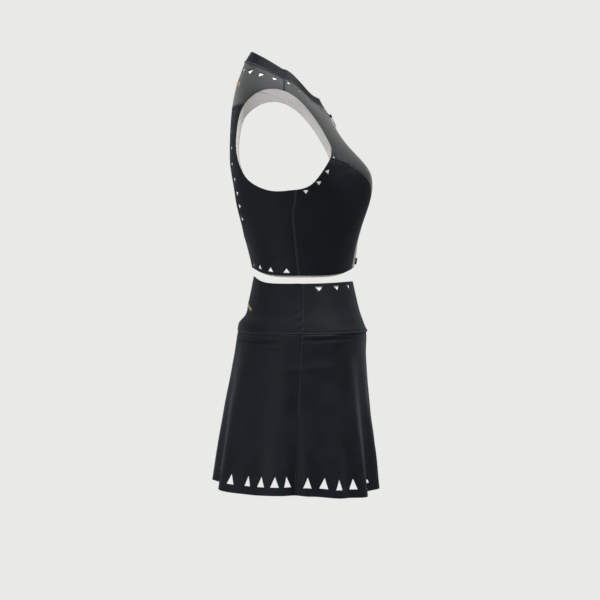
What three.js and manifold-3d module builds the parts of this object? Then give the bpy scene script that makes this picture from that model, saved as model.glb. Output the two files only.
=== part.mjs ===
// A two-piece cheer uniform: a sleeveless zip-front crop top and a short flared skirt with built-in shorts.
// Millimetres, +Z up. The wearer faces -Y, and the wearer's left is +X.
// The origin is the centre of the skirt's waist opening, which is where a waist holds the uniform.
import * as THREE from "three";
import { LoftGeometry } from "three/addons/geometries/LoftGeometry.js";
import { mergeVertices } from "three/addons/utils/BufferGeometryUtils.js";
import Module from "manifold-3d";

const wasm = await Module();
wasm.setup();

// ---- Driving dimensions ----

const FABRIC = 1.6; // outer stretch knit, as cut and bonded
const LAYER_GAP = 0.4; // air between two layers of cloth
const FACING = 0.8; // bonded facing tape
const LINING = 0.8; // power mesh lining
const SEAM_GAP = 0.6; // between two panels at a seam
const ROUND_EXPONENT = 2.3; // how square a body section is: 2 is an ellipse

const COLUMNS = 36; // steps round the top
const SKIRT_COLUMNS = 66; // steps round the skirt, six to a fold
const FAR = 400; // how far a cutting solid reaches past the cloth

// The front zip lies on one arc in the plane X = 0, so its slider turns about the arc's centre.
const ZIP = { y: 284, z: 102, radius: 380 };
const ZIP_TOP_Z = 303;
const ZIP_BOTTOM_Z = 34;
const ZIP_OPENING = 11; // between the two front panels' edges
const TAPE_WIDTH = 13;
const TAPE_THICKNESS = 0.8;
const COIL = { width: 2.4, height: 1.9, gap: 1.6 };
const SLIDER = { width: 9, length: 13, thickness: 1.5, post: 0.9 };
const PULL = { width: 6, length: 20, thickness: 1.1 };

const COLLAR_HEIGHT = 17;
const COLLAR_GAP = { bottom: 6, top: 15 }; // half the opening between the collar's ends
const COLLAR_LEAN = { front: 8, back: 11 }; // how far its top edge leans in

const BUST = { x: 78, z: 180, depth: 38.5, width: 40, above: 36, below: 60, valley: 35 };

const SKIRT_HEM_Z = -346;
const FOLDS = { count: 11, start: -120, depth: 11, phase: 0.35 };

// ---- Body sections ----

// Each row is one level of the top, from hem to neck seam: front z, side x y z, back y z.
const TOP_LEVELS = [
  [28, 119, 0, 11, 89, 27],
  [62, 122, 0, 50, 97, 62],
  [98, 129, 1, 90, 108.3, 98],
  [134, 139, 2, 128, 122, 136],
  [170, 148, 3, 166, 126.1, 174],
  [202, 150, 5, 204, 129.7, 212],
  [232, 146, 12, 244, 129, 250],
  [258, 137, 22, 282, 125.5, 288],
  [278, 124, 32, 315, 121, 322],
  [292, 100, 36, 336, 114, 352],
  [306, 68, 35, 350, 101.5, 386],
];
const NECK = TOP_LEVELS.length - 1;

// Each row is one level of the skirt, from waist to hem: front y z, side x y z, back y z.
const SKIRT_LEVELS = [
  [-87, 3, 118, 0, -2, 86, 12],
  [-98, -45, 134, 0, -46, 98, -43],
  [-110, -84, 152, 1, -88, 113, -82],
  [-110, -127, 160, 4, -129, 120, -125],
  [-116, -205, 178, 8, -206, 135, -205],
  [-126, -287, 199, 11, -287, 149, -287],
  [-131, SKIRT_HEM_Z, 214, 13, SKIRT_HEM_Z, 157, SKIRT_HEM_Z],
];
const YOKE_SEAM = 2; // the level of the seam below the waistband
const HEM = SKIRT_LEVELS.length - 1;

const mix = (a, b, t) => a + (b - a) * t;
const smooth = (t) => t * t * (3 - 2 * t);
const clamp = (t) => Math.min(1, Math.max(0, t));
const bell = (d, width) => Math.exp((-d * d) / (2 * width * width));

// A row between the rows of a table, by Catmull-Rom.
function levelAt(table, v) {
  const last = table.length - 1;
  const i = Math.min(last - 1, Math.max(0, Math.floor(v)));
  const t = v - i;
  const row = (k) => table[Math.min(last, Math.max(0, k))];
  return table[i].map((_, c) => {
    const [a, b, d, e] = [row(i - 1)[c], row(i)[c], row(i + 1)[c], row(i + 2)[c]];
    return b + 0.5 * t * (d - a + t * (2 * a - 5 * b + 4 * d - e + t * (3 * (b - d) + e - a)));
  });
}

const zipY = (z) => ZIP.y - Math.sqrt(ZIP.radius ** 2 - (z - ZIP.z) ** 2);

// The distance from the section's centre at an angle from the front.
function sectionRadius(angle, depth, width) {
  const c = Math.abs(Math.cos(angle)) / depth;
  const s = Math.abs(Math.sin(angle)) / width;
  return (c ** ROUND_EXPONENT + s ** ROUND_EXPONENT) ** (-1 / ROUND_EXPONENT);
}

function bustAt(x, z) {
  const across = bell(Math.abs(x) - BUST.x, BUST.width) * (1 - Math.exp(-((x / BUST.valley) ** 2)));
  return BUST.depth * across * bell(z - BUST.z, z > BUST.z ? BUST.above : BUST.below);
}

// The top's outer surface. The angle is 0 at the front and 90 degrees at the wearer's left.
function topSurface(angle, v) {
  const [frontZ, sideX, sideY, sideZ, backY, backZ] = levelAt(TOP_LEVELS, v);
  const front = Math.cos(angle) > 0;
  const depth = front ? sideY - zipY(frontZ) : backY - sideY;
  const r = sectionRadius(angle, depth, sideX);
  const x = r * Math.sin(angle);
  const t = clamp((r * Math.abs(Math.cos(angle))) / depth);
  const up = smooth(v / NECK);
  const rise = mix(t ** 4, front ? smooth(t) : t, up);
  const z = mix(sideZ, front ? frontZ : backZ, rise);
  const y = sideY - r * Math.cos(angle) - (front ? bustAt(x, z) * smooth(clamp(2 * t)) : 0);
  return new THREE.Vector3(x, y, z);
}

// The skirt's outer surface, waistband included, with the folds that grow towards the hem.
function skirtSurface(angle, v) {
  const [frontY, frontZ, sideX, sideY, sideZ, backY, backZ] = levelAt(SKIRT_LEVELS, v);
  const front = Math.cos(angle) > 0;
  const depth = front ? sideY - frontY : backY - sideY;
  const r = sectionRadius(angle, depth, sideX);
  const t = clamp((r * Math.abs(Math.cos(angle))) / depth);
  const z = mix(sideZ, front ? frontZ : backZ, front ? t * t : t ** 6);
  const share = clamp((FOLDS.start - z) / (FOLDS.start - SKIRT_HEM_Z));
  const fold = FOLDS.depth * share * share * Math.cos(FOLDS.count * angle + FOLDS.phase);
  return new THREE.Vector3((r + fold) * Math.sin(angle), sideY - (r + fold) * Math.cos(angle), z);
}

// A point moved along the surface's outward normal.
function offsetPoint(surface, angle, v, offset, lastV) {
  const step = 1e-3;
  const low = Math.max(0, v - step);
  const high = Math.min(lastV, v + step);
  const round = surface(angle + step, v).sub(surface(angle - step, v));
  const along = surface(angle, high).sub(surface(angle, low));
  const normal = round.cross(along).normalize();
  const point = surface(angle, v);
  const outward = new THREE.Vector3(point.x, point.y - 10, 0);
  return point.addScaledVector(normal, normal.dot(outward) < 0 ? -offset : offset);
}

// ---- Solids ----

// A manifold-3d solid from a closed three.js geometry.
function solidFrom(geometry) {
  const bare = new THREE.BufferGeometry().copy(geometry);
  for (const name of ["normal", "uv"]) bare.deleteAttribute(name);
  const merged = mergeVertices(bare, 1e-4);
  const triangles = [];
  const index = merged.index.array;
  for (let i = 0; i < index.length; i += 3) {
    const [a, b, c] = [index[i], index[i + 1], index[i + 2]];
    if (a !== b && b !== c && c !== a) triangles.push(a, b, c);
  }
  const build = (list) =>
    new wasm.Manifold(
      new wasm.Mesh({
        numProp: 3,
        vertProperties: merged.attributes.position.array,
        triVerts: new Uint32Array(list),
      }),
    );
  const made = build(triangles);
  if (made.volume() > 0) return made;
  for (let i = 0; i < triangles.length; i += 3) {
    [triangles[i + 1], triangles[i + 2]] = [triangles[i + 2], triangles[i + 1]];
  }
  return build(triangles);
}

function geometryFrom(solid) {
  const mesh = solid.getMesh();
  const position = new Float32Array(mesh.numVert * 3);
  for (let i = 0; i < mesh.numVert; i++) {
    position.set(mesh.vertProperties.subarray(i * mesh.numProp, i * mesh.numProp + 3), i * 3);
  }
  const geometry = new THREE.BufferGeometry()
    .setAttribute("position", new THREE.BufferAttribute(position, 3))
    .setIndex(new THREE.BufferAttribute(new Uint32Array(mesh.triVerts), 1));
  geometry.computeVertexNormals();
  return geometry;
}

// Turns the diagonals of the inner faces, so that two layers over the same levels stay parallel.
function matchDiagonals(geometry, rows, around, firstInner) {
  const index = geometry.index;
  for (let i = 0; i < rows; i++) {
    for (let j = firstInner; j < around - 1; j++) {
      const at = 6 * (i * around + j);
      const [a, b, d, c] = [0, 1, 2, 4].map((k) => index.getX(at + k));
      [a, b, c, a, c, d].forEach((vertex, k) => index.setX(at + k, vertex));
    }
  }
  return geometry;
}

// A closed ring of cloth on a surface, between two levels, from one depth below it to another.
function ringLayer(surface, columns, levels, outer, inner, lastV) {
  const sections = [];
  for (let k = 0; k <= columns; k++) {
    const angle = ((k % columns) / columns) * 2 * Math.PI;
    const outside = levels.map((v) => offsetPoint(surface, angle, v, -outer, lastV));
    const inside = levels.map((v) => offsetPoint(surface, angle, v, -inner, lastV)).reverse();
    sections.push([...outside, ...inside]);
  }
  const loft = new LoftGeometry(sections);
  return solidFrom(matchDiagonals(loft, columns, 2 * levels.length, levels.length));
}

// Evenly spaced levels, ends included.
const levelsBetween = (from, to, steps) =>
  Array.from({ length: steps + 1 }, (_, i) => mix(from, to, i / steps));

const SIDE_VIEW = new THREE.Matrix4().makeBasis(
  new THREE.Vector3(0, 1, 0),
  new THREE.Vector3(0, 0, 1),
  new THREE.Vector3(1, 0, 0),
);
const FRONT_VIEW = new THREE.Matrix4().makeBasis(
  new THREE.Vector3(1, 0, 0),
  new THREE.Vector3(0, 0, 1),
  new THREE.Vector3(0, -1, 0),
);

function prism(shape, depth, curveSegments) {
  return new THREE.ExtrudeGeometry(shape, { depth, bevelEnabled: false, curveSegments });
}

// A YZ outline pushed along X, from x0 to x1.
function sidePrism(shape, x0 = -FAR, x1 = FAR, curveSegments = 2) {
  return solidFrom(prism(shape, x1 - x0, curveSegments).applyMatrix4(SIDE_VIEW).translate(x0, 0, 0));
}

// An XZ outline pushed along Y, from y0 to y1.
function frontPrism(shape, y0 = -FAR, y1 = FAR, curveSegments = 2) {
  return solidFrom(prism(shape, y1 - y0, curveSegments).applyMatrix4(FRONT_VIEW).translate(0, y1, 0));
}

const vectors = (points) => points.map(([a, b]) => new THREE.Vector2(a, b));

// A closed outline through points, as one smooth curve.
function smoothOutline(points) {
  const [first, ...rest] = vectors([...points, points[0]]);
  return new THREE.Shape().moveTo(first.x, first.y).splineThru(rest);
}

// The same points moved away from their middle, by a distance in millimetres.
function grown(points, distance) {
  const middle = points.reduce(([a, b], [c, d]) => [a + c / points.length, b + d / points.length], [0, 0]);
  return points.map(([a, b]) => {
    const away = new THREE.Vector2(a - middle[0], b - middle[1]);
    const longer = 1 + distance / away.length();
    return [middle[0] + away.x * longer, middle[1] + away.y * longer];
  });
}

const polygon = (points) => new THREE.Shape(vectors(points));

// Everything on one side of a line through points, out to FAR along the first axis.
function sideOf(points, sign, gap = SEAM_GAP / 2) {
  const moved = points.map(([a, b]) => [a + sign * gap, b]);
  const [low, high] = [moved[0], moved[moved.length - 1]];
  return polygon([...moved, [sign * FAR, high[1]], [sign * FAR, low[1]]]);
}

// The biggest piece of a solid, without the crumbs that a cut leaves.
function largest(solid) {
  return solid.decompose().reduce((best, piece) => (piece.volume() > best.volume() ? piece : best));
}

// ---- Outlines ----

// Armhole, seen from the side (y, z).
const ARMHOLE = [
  [43, 328],
  [10, 312],
  [-20, 278],
  [-43, 239],
  [-48, 222],
  [-42, 201],
  [-13, 163],
  [24, 154],
  [60, 155],
  [94, 174],
  [112, 210],
  [115, 250],
  [105, 297],
  [77, 323],
];

// Outer edge of the tape bonded round the armhole (y, z).
const ARMHOLE_FACING = [
  [43, 350],
  [-2, 328],
  [-38, 290],
  [-61, 247],
  [-67, 222],
  [-60, 192],
  [-24, 147],
  [22, 136],
  [66, 137],
  [104, 162],
  [117.5, 206],
  [120, 252],
  [112, 303],
  [86, 340],
];

// Teardrop opening in the back, seen from behind (x, z), right half from the point at its top.
const KEYHOLE_HALF = [
  [15, 288],
  [33, 262],
  [44, 232],
  [47, 204],
  [52, 178],
  [58, 154],
  [59, 132],
  [50, 110],
  [31, 92],
];
const KEYHOLE = [
  [0, 297],
  ...KEYHOLE_HALF,
  [0, 84],
  ...KEYHOLE_HALF.map(([x, z]) => [-x, z]).reverse(),
];

// Side seam of the top below the armhole, and the shoulder seam above it (y, z).
const SIDE_SEAM = [
  [4, -FAR],
  [7.7, 11],
  [13.3, 70],
  [17, 112],
  [13.3, 165],
  [31, 310],
  [31, FAR],
];

// Seam from the armhole over the bust to the hem, seen from the front (x, z), wearer's left.
const PRINCESS_SEAM = [
  [50, -20],
  [57, 30],
  [66, 90],
  [77, 145],
  [91.5, 172],
  [105, 186],
  [117, 198.5],
  [131, 207],
  [175, 222],
];

// Side seam of the skirt (y, z), from hem to waist.
const SKIRT_SIDE_SEAM = [
  [17, SKIRT_HEM_Z - 40],
  [11, -290],
  [2, -180],
  [-1.5, -88],
  [-1.5, 60],
];

const YOKE_SEAM_Z = 303; // seam across the back, above the teardrop

// ---- Materials ----

const material = (color, roughness, metalness = 0) =>
  new THREE.MeshStandardMaterial({ color, roughness, metalness });
const FINISH = {
  knit: material(0x16191c, 0.62),
  upperKnit: material(0x1f2123, 0.5),
  facing: material(0xe6e3df, 0.85),
  lining: material(0xdedad5, 0.9),
  foam: material(0xcfc8c0, 0.95),
  elastic: material(0x101214, 0.8),
  zipTape: material(0x111315, 0.75),
  zipMetal: material(0x2b2d30, 0.35, 0.8),
  shorts: material(0x121416, 0.55),
  gripper: material(0x2a2c30, 0.4),
  foil: material(0xd9a06b, 0.3, 0.9),
};

const uniform = new THREE.Group();

function add(name, solid, finish) {
  const mesh = new THREE.Mesh(geometryFrom(largest(solid)), finish);
  mesh.name = name;
  uniform.add(mesh);
}

// Adds a piece for each side of the body, cut from one solid or given as a right and a left one.
function addPair(name, solid, finish) {
  const halves = () => [solid.intersect(rightHalf), solid.intersect(leftHalf)];
  const [right, left] = Array.isArray(solid) ? solid : halves();
  add(`right_${name}`, right, finish);
  add(`left_${name}`, left, finish);
}

// ---- Crop top ----

const frontSide = sidePrism(sideOf(SIDE_SEAM, -1));
const backSide = sidePrism(sideOf(SIDE_SEAM, 1));
const armholes = sidePrism(smoothOutline(ARMHOLE));
const keyhole = frontPrism(smoothOutline(KEYHOLE), 40, FAR);
const rightHalf = frontPrism(sideOf([[0, -FAR], [0, FAR]], -1));
const leftHalf = frontPrism(sideOf([[0, -FAR], [0, FAR]], 1));
const topLayer = (outer, inner, from = 0, to = NECK, steps = 10) =>
  ringLayer(topSurface, COLUMNS, levelsBetween(from, to, steps), outer, inner, NECK);
const slot = (halfWidth, y0, y1) =>
  frontPrism(polygon([[-halfWidth, -FAR], [halfWidth, -FAR], [halfWidth, FAR], [-halfWidth, FAR]]), y0, y1);

// Everything outside the two seams over the bust, moved outwards by a gap.
function outsideBust(gap) {
  const mirrored = PRINCESS_SEAM.map(([x, z]) => [-x, z]);
  const left = frontPrism(sideOf(PRINCESS_SEAM, 1, gap), -FAR, 60);
  return left.add(frontPrism(sideOf(mirrored, -1, gap), -FAR, 60));
}

function makeOuterPanels() {
  const cloth = topLayer(0, FABRIC).subtract(armholes).subtract(keyhole);
  const fronts = cloth.intersect(frontSide).subtract(slot(ZIP_OPENING / 2, -FAR, 20));
  addPair("side_front", fronts.intersect(outsideBust(SEAM_GAP / 2)), FINISH.knit);
  addPair("centre_front", fronts.subtract(outsideBust(-SEAM_GAP / 2)), FINISH.upperKnit);

  const backs = cloth.intersect(backSide);
  add("back_yoke", backs.intersect(above(YOKE_SEAM_Z + SEAM_GAP / 2)), FINISH.knit);
  addPair("back", backs.subtract(above(YOKE_SEAM_Z - SEAM_GAP / 2)), FINISH.knit);
}

const above = (z) => frontPrism(polygon([[-FAR, z], [FAR, z], [FAR, 2 * FAR], [-FAR, 2 * FAR]]));

// The stand collar: its ends turn forwards and part above the zip.
function makeCollar() {
  const steps = 40;
  const sections = [];
  const point = (share, height, depth) => {
    const gap = mix(COLLAR_GAP.bottom, COLLAR_GAP.top, height);
    const open = Math.asin(gap / 72);
    const angle = open + share * (2 * Math.PI - 2 * open);
    const base = offsetPoint(topSurface, angle, NECK, -depth, NECK);
    const back = 0.5 - 0.5 * Math.cos(angle);
    const lean = mix(COLLAR_LEAN.front, COLLAR_LEAN.back, back) * height;
    base.x -= Math.sin(angle) * lean;
    base.y += Math.cos(angle) * lean;
    base.z += 2 * SEAM_GAP + COLLAR_HEIGHT * height;
    return base;
  };
  for (let k = 0; k <= steps; k++) {
    const share = k / steps;
    const heights = [0, 0.5, 1];
    const inside = heights.map((h) => point(share, h, FABRIC));
    const outside = heights.map((h) => point(share, h, 0)).reverse();
    sections.push([...inside, ...outside]);
  }
  add("stand_collar", solidFrom(new LoftGeometry(sections, { capStart: true, capEnd: true })), FINISH.knit);
}

// Bonded tapes behind the cut edges, and the mesh lining that is joined to them.
const FACING_WIDTH = 19;
const facingOuter = FABRIC + LAYER_GAP;
const facingInner = facingOuter + FACING;

// Upper edge of the hem tape and lower edge of the neck tape, seen from the side (y, z).
const HEM_TAPE_TOP = [
  [-FAR, 46],
  [-75, 44],
  [-45, 32],
  [0, 26],
  [45, 32],
  [75, 44],
  [FAR, 46],
];
const NECK_TAPE_BOTTOM = [
  [-FAR, 286],
  [-50, 286],
  [-10, 312],
  [35, 333],
  [75, 345],
  [FAR, 362],
];

// Everything above or below a line across the side view.
function besideLine(line, sign, gap) {
  const moved = line.map(([y, z]) => [y, z + sign * gap]);
  return sidePrism(polygon([...moved, [FAR, sign * 2 * FAR], [-FAR, sign * 2 * FAR]]));
}

function makeFacings() {
  const layer = topLayer(facingOuter, facingInner);
  const wideArmhole = sidePrism(smoothOutline(ARMHOLE_FACING));
  const wideKeyhole = frontPrism(smoothOutline(grown(KEYHOLE, FACING_WIDTH)), 40, FAR);
  const zipSlot = slot(ZIP_OPENING / 2 + TAPE_WIDTH, -FAR, 20);
  const whole = layer.subtract(zipSlot).subtract(armholes);
  const half = SEAM_GAP / 2;
  add("neck_facing", whole.intersect(besideLine(NECK_TAPE_BOTTOM, 1, half)), FINISH.facing);
  add("hem_facing", whole.intersect(besideLine(HEM_TAPE_TOP, -1, half)), FINISH.facing);

  const belowNeck = besideLine(NECK_TAPE_BOTTOM, -1, half);
  const aboveHem = besideLine(HEM_TAPE_TOP, 1, half);
  const middle = whole.intersect(belowNeck).intersect(aboveHem);
  const nearArm = middle.intersect(wideArmhole);
  addPair("armhole_facing", nearArm, FINISH.facing);

  const roomyArmhole = sidePrism(smoothOutline(grown(ARMHOLE_FACING, SEAM_GAP)));
  const nearKeyhole = middle.subtract(roomyArmhole).intersect(wideKeyhole).subtract(keyhole);
  addPair("keyhole_facing", nearKeyhole, FINISH.facing);

  const roomyKeyhole = frontPrism(smoothOutline(grown(KEYHOLE, FACING_WIDTH + SEAM_GAP)), 40, FAR);
  const body = middle.subtract(roomyArmhole).subtract(roomyKeyhole);
  addPair("front_lining", body.intersect(frontSide), FINISH.lining);
  add("back_lining", body.intersect(backSide), FINISH.lining);
}

// Moulded foam cups inside the lining.
function makeBustPads() {
  const inner = facingInner + LAYER_GAP;
  const layer = topLayer(inner, inner + 5, 3, 6, 3);
  const cup = (side) => {
    const outline = new THREE.Shape().absellipse(side * 80, 166, 50, 46, 0, 2 * Math.PI);
    return layer.intersect(frontPrism(outline, -FAR, -20, 12));
  };
  addPair("bust_pad", [cup(-1), cup(1)], FINISH.foam);
}

// ---- Zip ----

const zipAngle = (z) => Math.PI - Math.asin((z - ZIP.z) / ZIP.radius);

// A strip along the zip's arc: between two radii, two heights and two values of x.
function zipStrip(inner, outer, z0, z1, x0, x1, segments = 12) {
  const [a, b] = [zipAngle(z1), zipAngle(z0)];
  const shape = new THREE.Shape()
    .absarc(ZIP.y, ZIP.z, ZIP.radius + outer, a, b, false)
    .absarc(ZIP.y, ZIP.z, ZIP.radius + inner, b, a, true);
  return sidePrism(shape, x0, x1, segments);
}

const tapeTop = -FABRIC - 0.9; // below the cloth, clear of its flat facets
const tapeBottom = tapeTop - TAPE_THICKNESS;
const coilTop = tapeTop + COIL.height;
const clearance = 0.4;

function makeZip() {
  const tape = (side) => {
    const edges = [side * (COIL.gap / 2), side * (COIL.gap / 2 + TAPE_WIDTH)].sort((p, q) => p - q);
    const coilEdges = [side * (COIL.gap / 2), side * (COIL.gap / 2 + COIL.width)].sort((p, q) => p - q);
    return zipStrip(tapeBottom, tapeTop, ZIP_BOTTOM_Z - 4, ZIP_TOP_Z, ...edges).add(
      zipStrip(tapeBottom, coilTop, ZIP_BOTTOM_Z + 15, ZIP_TOP_Z - 4, ...coilEdges),
    );
  };
  addPair("zip_tape", [tape(-1), tape(1)], FINISH.zipTape);

  const stop = (side) => {
    const edges = [side * (COIL.gap / 2), side * (COIL.gap / 2 + COIL.width)].sort((p, q) => p - q);
    return zipStrip(tapeTop + 0.3, coilTop + 0.3, ZIP_TOP_Z - 3.2, ZIP_TOP_Z - 0.8, ...edges, 2);
  };
  addPair("zip_top_stop", [stop(-1), stop(1)], FINISH.zipMetal);

  const boxBottom = ZIP_BOTTOM_Z - 1;
  const box = zipStrip(tapeTop + 0.3, coilTop + 4.2, boxBottom, boxBottom + 11, -4.4, 4.4, 2);
  add("zip_retainer_box", box, FINISH.zipMetal);
  const pin = zipStrip(tapeTop + 0.3, coilTop, boxBottom + 11.4, boxBottom + 15.4, 0.9, 2.9, 2);
  add("zip_insertion_pin", pin, FINISH.zipMetal);

  const guard = zipStrip(tapeBottom - 1.9, tapeBottom - 0.5, ZIP_BOTTOM_Z, ZIP_TOP_Z - 2, -14, 14);
  add("zip_guard", guard, FINISH.knit);
}

// The slider: a plate over the coil, two flanges beside it, a post between its halves,
// and two lugs that carry the pull's pin.
const SLIDER_TOP_Z = 297;
const sliderBottomZ = SLIDER_TOP_Z - SLIDER.length * 0.88;
const sliderTop = coilTop + clearance + SLIDER.thickness;

function makeSlider() {
  const half = SLIDER.width / 2;
  const plate = zipStrip(coilTop + clearance, sliderTop, sliderBottomZ, SLIDER_TOP_Z, -half, half, 3);
  const flange = (side) => {
    const edges = [side * (COIL.gap / 2 + COIL.width + clearance), side * half].sort((p, q) => p - q);
    return zipStrip(tapeTop + clearance, sliderTop, sliderBottomZ, SLIDER_TOP_Z, ...edges, 3);
  };
  const post = zipStrip(
    tapeTop + clearance,
    sliderTop,
    sliderBottomZ + 4,
    SLIDER_TOP_Z - 2,
    -SLIDER.post / 2,
    SLIDER.post / 2,
    2,
  );
  const lug = (side) => {
    const edges = [side * 1.2, side * 2.4].sort((p, q) => p - q);
    return zipStrip(sliderTop - 0.5, sliderTop + 3.4, SLIDER_TOP_Z - 8.5, SLIDER_TOP_Z - 4, ...edges, 2);
  };
  const pin = new THREE.CylinderGeometry(0.55, 0.55, 4.2, 10).rotateZ(Math.PI / 2);
  const [pinY, pinZ] = pullPivot();
  const loop = solidFrom(pin.translate(0, pinY, pinZ));
  const slider = [flange(-1), flange(1), post, lug(-1), lug(1), loop].reduce((s, p) => s.add(p), plate);
  add("zip_slider", slider, FINISH.zipMetal);
}

// The axis that the pull swings on, as (y, z).
function pullPivot() {
  const angle = zipAngle(SLIDER_TOP_Z - 6.2);
  const radius = ZIP.radius + sliderTop + 1.9;
  return [ZIP.y + radius * Math.cos(angle), ZIP.z + radius * Math.sin(angle)];
}

// A flat tab with an eye round the slider's pin, lying down along the zip.
function makePull() {
  const [y, z] = pullPivot();
  const eye = 1.0; // clear of the pin, and it fits between the lugs
  const tab = new THREE.Shape()
    .moveTo(-0.95, 1.6)
    .lineTo(0.95, 1.6)
    .lineTo(0.95, -5)
    .lineTo(PULL.width / 2, -8)
    .lineTo(PULL.width / 2, 2 - PULL.length)
    .absarc(0, 2 - PULL.length, PULL.width / 2, 0, -Math.PI, true)
    .lineTo(-PULL.width / 2, -8)
    .lineTo(-0.95, -5);
  const flat = prism(tab, PULL.thickness, 4).translate(0, 0, -PULL.thickness / 2).rotateX(Math.PI / 2);
  const ringOutline = new THREE.Shape().absarc(0, 0, 1.75, 0, 2 * Math.PI);
  ringOutline.holes.push(new THREE.Path().absarc(0, 0, eye, 0, 2 * Math.PI));
  const ring = prism(ringOutline, 1.9, 6).applyMatrix4(SIDE_VIEW).translate(-0.95, 0, 0);
  const hole = new THREE.CylinderGeometry(eye, eye, 12, 12).rotateZ(Math.PI / 2);
  const body = solidFrom(flat).subtract(solidFrom(hole)).add(solidFrom(ring));
  const slope = Math.atan2(ZIP.z - z, ZIP.y - y) + 0.07;
  const turned = geometryFrom(body).rotateX(slope).translate(0, y, z);
  add("zip_pull", solidFrom(turned), FINISH.zipMetal);
}

// ---- Skirt ----

const skirtFront = sidePrism(sideOf(SKIRT_SIDE_SEAM, -1));
const skirtBack = sidePrism(sideOf(SKIRT_SIDE_SEAM, 1));
const skirtLayer = (outer, inner, from, to, steps, columns = COLUMNS) =>
  ringLayer(skirtSurface, columns, levelsBetween(from, to, steps), outer, inner, HEM);

const ELASTIC = 1.0;
const elasticOuter = FABRIC + LAYER_GAP;
const bandFacingOuter = elasticOuter + ELASTIC + LAYER_GAP;

function makeWaistband() {
  const band = skirtLayer(0, FABRIC, 0, YOKE_SEAM, 4);
  add("front_waistband", band.intersect(skirtFront), FINISH.knit);
  add("back_waistband", band.intersect(skirtBack), FINISH.knit);
  const facing = skirtLayer(bandFacingOuter, bandFacingOuter + FACING, 0, YOKE_SEAM, 4);
  add("front_waist_facing", facing.intersect(skirtFront), FINISH.facing);
  add("back_waist_facing", facing.intersect(skirtBack), FINISH.facing);
  add("waist_elastic", skirtLayer(elasticOuter, elasticOuter + ELASTIC, 0.5, 1, 1), FINISH.elastic);
}

function makeSkirtPanels() {
  const flare = skirtLayer(0, FABRIC, YOKE_SEAM + 0.04, HEM, 6, SKIRT_COLUMNS);
  add("front_skirt_panel", flare.intersect(skirtFront), FINISH.knit);
  add("back_skirt_panel", flare.intersect(skirtBack), FINISH.knit);
}

// ---- Built-in shorts ----

const SHORTS = { top: -93, crotch: -236, hem: -296, cloth: 1.4 };
const LEG = { x: 77, y: 10, width: 72, depth: 92, hemWidth: 74, hemDepth: 94 };

// A closed elliptical loft. Each row is z, centre x y, half width, half depth.
function ellipseLoft(rows, columns = 20) {
  const sections = rows.map(([z, x, y, width, depth]) =>
    Array.from({ length: columns }, (_, k) => {
      const a = (k / columns) * 2 * Math.PI;
      return new THREE.Vector3(x + width * Math.cos(a), y + depth * Math.sin(a), z);
    }),
  );
  return solidFrom(new LoftGeometry(sections, { capStart: true, capEnd: true }));
}

// The space that the shorts enclose, taken in by an inset and opened by a reach past each end.
function shortsBody(inset, reach) {
  const hips = ellipseLoft([
    [SHORTS.crotch + inset, 0, 8, 150 - inset, 102 - inset],
    [-180, 0, 6, 157 - inset, 106 - inset],
    [-130, 0, 4, 152 - inset, 106 - inset],
    [SHORTS.top + reach, 0, 2, 143 - inset, 103 - inset],
  ]);
  const leg = (side) =>
    ellipseLoft([
      [SHORTS.hem - reach, side * LEG.x, LEG.y, LEG.hemWidth - inset, LEG.hemDepth - inset],
      [-262, side * LEG.x, LEG.y, LEG.width - inset, LEG.depth - inset],
      [-222, side * (LEG.x - 2), LEG.y, LEG.width - inset, LEG.depth - inset],
    ]);
  return hips.add(leg(-1)).add(leg(1));
}

function makeShorts() {
  const shell = shortsBody(0, 0).subtract(shortsBody(SHORTS.cloth, 3));
  const between = new THREE.Shape().absellipse(0, 10, 17, 62, 0, 2 * Math.PI);
  const block = (x, y) => prism(between, 40, 10).scale(x, y, 1).translate(0, 0, SHORTS.crotch - 22);
  const gussetRoom = solidFrom(block(1, 1));
  const gussetCut = solidFrom(block(0.95, 0.985));
  add("shorts_gusset", shell.intersect(gussetCut), FINISH.shorts);
  addPair("shorts_leg", shell.subtract(gussetRoom), FINISH.shorts);

  const gripper = (side) => {
    const ring = (inset, z0, z1) =>
      ellipseLoft([
        [z0, side * LEG.x, LEG.y, LEG.hemWidth - inset, LEG.hemDepth - inset],
        [z1, side * LEG.x, LEG.y, LEG.hemWidth - 0.6 - inset, LEG.hemDepth - 0.6 - inset],
      ]);
    const outer = SHORTS.cloth + LAYER_GAP;
    const hole = ring(outer + 1, SHORTS.hem, SHORTS.hem + 16);
    return ring(outer, SHORTS.hem + 2, SHORTS.hem + 14).subtract(hole);
  };
  addPair("leg_gripper", [gripper(-1), gripper(1)], FINISH.gripper);
}

// ---- Foil bars ----

// A plain arched bar, seen from behind (x, z): its middle is the highest point.
function archedBar(z, halfWidth, drop, height) {
  const top = (x) => z - drop * (x / halfWidth) ** 2;
  const xs = levelsBetween(-halfWidth, halfWidth, 8);
  const upper = xs.map((x) => [x, top(x) + height / 2]);
  const lower = xs.map((x) => [x, top(x) - height / 2]).reverse();
  return frontPrism(polygon([...upper, ...lower]), 40, FAR);
}

function makeFoilBars() {
  const raised = -0.4;
  const neckSkin = topLayer(raised - 0.4, raised, 7, NECK, 3);
  add("neck_foil_bar", neckSkin.intersect(archedBar(352, 46, 9, 6)), FINISH.foil);
  const waistSkin = skirtLayer(raised - 0.4, raised, 0, YOKE_SEAM, 4);
  add("waist_foil_bar", waistSkin.intersect(archedBar(-35, 58, 11, 5)), FINISH.foil);
}

makeOuterPanels();
makeCollar();
makeFacings();
makeBustPads();
makeZip();
makeSlider();
makePull();
makeWaistband();
makeSkirtPanels();
makeShorts();
makeFoilBars();

export default uniform;
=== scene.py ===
# A two-piece cheer uniform: a zip-front crop top and a short flared skirt with built-in shorts.
# Shapes are worked out in millimetres in the row frame and scaled to metres when a mesh is made.
# The wearer faces -Y, and an angle round the body runs from 0 at the front to 90 at the wearer's left.
import math

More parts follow.
